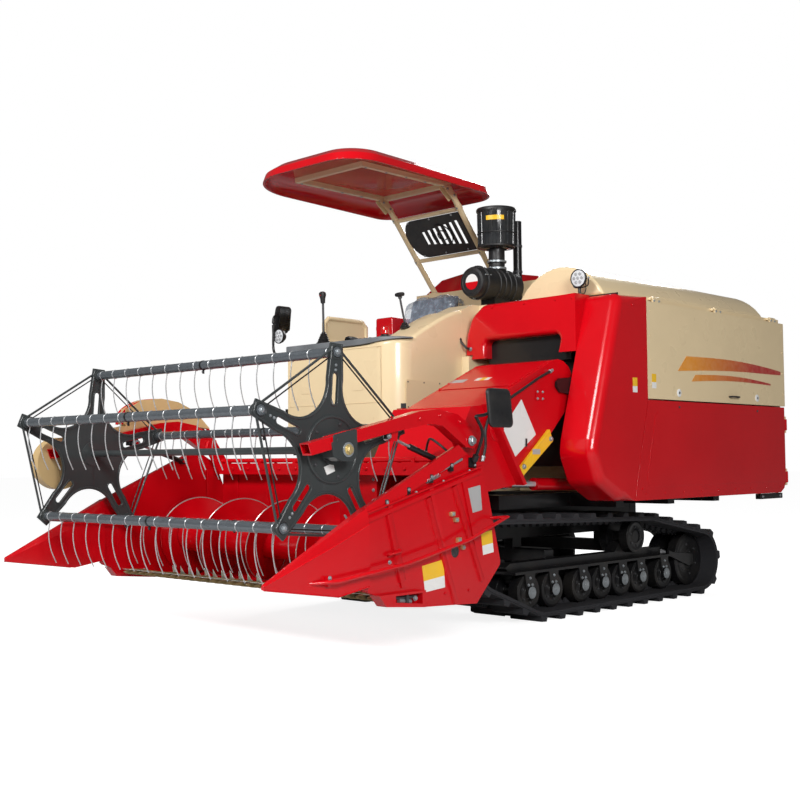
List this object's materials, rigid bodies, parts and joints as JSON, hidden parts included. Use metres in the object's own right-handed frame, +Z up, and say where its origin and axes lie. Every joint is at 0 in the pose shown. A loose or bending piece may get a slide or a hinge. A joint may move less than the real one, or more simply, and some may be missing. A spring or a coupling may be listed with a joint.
{
  "type": "tracked combine harvester",
  "caption": "Red and cream rubber-tracked grain combine with a raised pick-up reel header, open operator seat under a canopy and a grain tank.",
  "frame": {"origin": "on the ground at the centre of the machine's plan outline", "axes": "+X forward towards the header, +Y to the machine's left, +Z up"},
  "size_m": [4.947, 2.497, 2.9334],
  "materials": {
    "track_rubber": "matte",
    "red_paint": "gloss",
    "cream_paint": "satin",
    "black_paint": "satin",
    "dark_steel": "satin",
    "galvanised": "satin",
    "grey_plastic": "matte",
    "black_plastic": "matte",
    "seat_vinyl": "matte",
    "yellow_paint": "satin",
    "tan_paint": "satin"
  },
  "bodies": {
    "chassis": {"air_cleaner": "black_plastic", "canopy_frame": "cream_paint", "canopy_roof": "red_paint", "chassis_frame": "black_paint", "column_cover": "red_paint", "dash_strip": "grey_plastic", "deck_frame": "black_paint", "drive_sprockets": "dark_steel", "engine_block": "dark_steel", "engine_cover": "cream_paint", "exhaust_pipe": "galvanised", "front_fairing": "cream_paint", "front_hood": "red_paint", "gearbox": "dark_steel", "grain_tank": "cream_paint", "levers": "black_plastic", "lower_body": "cream_paint", "platform": "black_paint", "radiator_grille": "black_plastic", "rear_crossmember": "black_paint", "right_mirror": "black_plastic", "running_wheels": "galvanised", "seat": "seat_vinyl", "side_drives": "dark_steel", "side_guard": "cream_paint", "slotted_plate": "black_plastic", "straw_hood": "cream_paint", "thresher_body": "cream_paint", "tool_box": "red_paint", "top_arch_cover": "cream_paint", "track_frames": "black_paint", "track_left": "track_rubber", "track_right": "track_rubber", "work_lamp": "black_plastic"},
    "header": {"feeder_house": "red_paint", "header_adapter": "red_paint", "header_table": "red_paint", "end_panel_left": "red_paint", "end_panel_right": "red_paint", "knife_bar": "dark_steel", "guide_rods": "red_paint", "lift_prop": "yellow_paint", "left_mirror": "black_plastic"},
    "reel_arms": {"reel_arms": "red_paint", "reel_drive_cover": "tan_paint"},
    "reel": {"reel_frame": "dark_steel"},
    "feed_auger": {"feed_auger": "red_paint"},
    "lift_barrel": {"lift_barrel": "red_paint"},
    "lift_rod": {"lift_rod": "galvanised"},
    "reel_barrels": {"reel_barrels": "red_paint"},
    "reel_rods": {"reel_rods": "galvanised"},
    "upper_side_door": {"upper_side_door": "cream_paint"},
    "lower_side_door": {"lower_side_door": "red_paint"},
    "tank_lid": {"tank_lid": "red_paint"},
    "unloading_tube": {"unloading_tube": "cream_paint"},
    "tine_bar_1": {"tine_bar_1": "galvanised"},
    "tine_bar_2": {"tine_bar_2": "galvanised"},
    "tine_bar_3": {"tine_bar_3": "galvanised"},
    "tine_bar_4": {"tine_bar_4": "galvanised"},
    "tine_bar_5": {"tine_bar_5": "galvanised"}
  },
  "joints": [
    {"name": "header_lift", "type": "hinge", "parent": "chassis", "child": "header", "pos_m": [-0.03, 0.565, 1.385], "axis": [0, -1, 0], "range_deg": [-7, 12]},
    {"name": "reel_lift", "type": "hinge", "parent": "header", "child": "reel_arms", "pos_m": [1.095, 0, 1.045], "axis": [0, -1, 0], "range_deg": [0, 16]},
    {"name": "reel_spin", "type": "hinge", "parent": "reel_arms", "child": "reel", "pos_m": [1.9695, 0, 1], "axis": [0, 1, 0], "continuous": true},
    {"name": "auger_spin", "type": "hinge", "parent": "header", "child": "feed_auger", "pos_m": [1.22, 0, 0.49], "axis": [0, 1, 0], "continuous": true},
    {"name": "lift_barrel_swing", "type": "hinge", "parent": "chassis", "child": "lift_barrel", "pos_m": [-0.52, 0.7, 0.785], "axis": [0, -1, 0], "range_deg": [-6, 8]},
    {"name": "lift_rod_slide", "type": "slide", "parent": "lift_barrel", "child": "lift_rod", "axis": [0.9998, 0, 0.0219], "range_m": [-0.085, 0.13]},
    {"name": "reel_barrel_swing", "type": "hinge", "parent": "header", "child": "reel_barrels", "pos_m": [1.3, 0, 0.95], "axis": [0, -1, 0], "range_deg": [0, 30]},
    {"name": "reel_rod_slide", "type": "slide", "parent": "reel_barrels", "child": "reel_rods", "axis": [0.9498, 0, 0.3129], "range_m": [0, 0.07]},
    {"name": "upper_door_hinge", "type": "hinge", "parent": "chassis", "child": "upper_side_door", "pos_m": [-1.5, 1.108, 1.94], "axis": [1, 0, 0], "range_deg": [0, 75]},
    {"name": "lower_door_hinge", "type": "hinge", "parent": "chassis", "child": "lower_side_door", "pos_m": [-2.474, 1.11, 0.99], "axis": [0, 0, 1], "range_deg": [0, 100]},
    {"name": "tank_lid_hinge", "type": "hinge", "parent": "chassis", "child": "tank_lid", "pos_m": [-1.64, -1.092, 2.212], "axis": [1, 0, 0], "range_deg": [0, 75]},
    {"name": "unloader_swing", "type": "hinge", "parent": "chassis", "child": "unloading_tube", "pos_m": [-2.385, -1.16, 1.64], "axis": [0, 0, -1], "range_deg": [0, 100]},
    {"name": "tine_turn_1", "type": "hinge", "parent": "reel", "child": "tine_bar_1", "pos_m": [1.93444, 0, 1.45565], "axis": [0, 1, 0], "continuous": true},
    {"name": "tine_turn_2", "type": "hinge", "parent": "reel", "child": "tine_bar_2", "pos_m": [1.52531, 0, 1.10746], "axis": [0, 1, 0], "continuous": true},
    {"name": "tine_turn_3", "type": "hinge", "parent": "reel", "child": "tine_bar_3", "pos_m": [1.73004, 0, 0.61076], "axis": [0, 1, 0], "continuous": true},
    {"name": "tine_turn_4", "type": "hinge", "parent": "reel", "child": "tine_bar_4", "pos_m": [2.26569, 0, 0.65198], "axis": [0, 1, 0], "continuous": true},
    {"name": "tine_turn_5", "type": "hinge", "parent": "reel", "child": "tine_bar_5", "pos_m": [2.39202, 0, 1.17415], "axis": [0, 1, 0], "continuous": true}
  ],
  "couplings": [
    {"joint": "lift_barrel_swing", "follows": "header_lift", "ratio": 0.39568},
    {"joint": "lift_rod_slide", "follows": "header_lift", "m_per_rad": 0.5797},
    {"joint": "reel_barrel_swing", "follows": "reel_lift", "ratio": 1.36},
    {"joint": "reel_rod_slide", "follows": "reel_lift", "m_per_rad": 0.17482},
    {"joint": "tine_turn_1", "follows": "reel_spin", "ratio": -1},
    {"joint": "tine_turn_2", "follows": "reel_spin", "ratio": -1},
    {"joint": "tine_turn_3", "follows": "reel_spin", "ratio": -1},
    {"joint": "tine_turn_4", "follows": "reel_spin", "ratio": -1},
    {"joint": "tine_turn_5", "follows": "reel_spin", "ratio": -1}
  ]
}
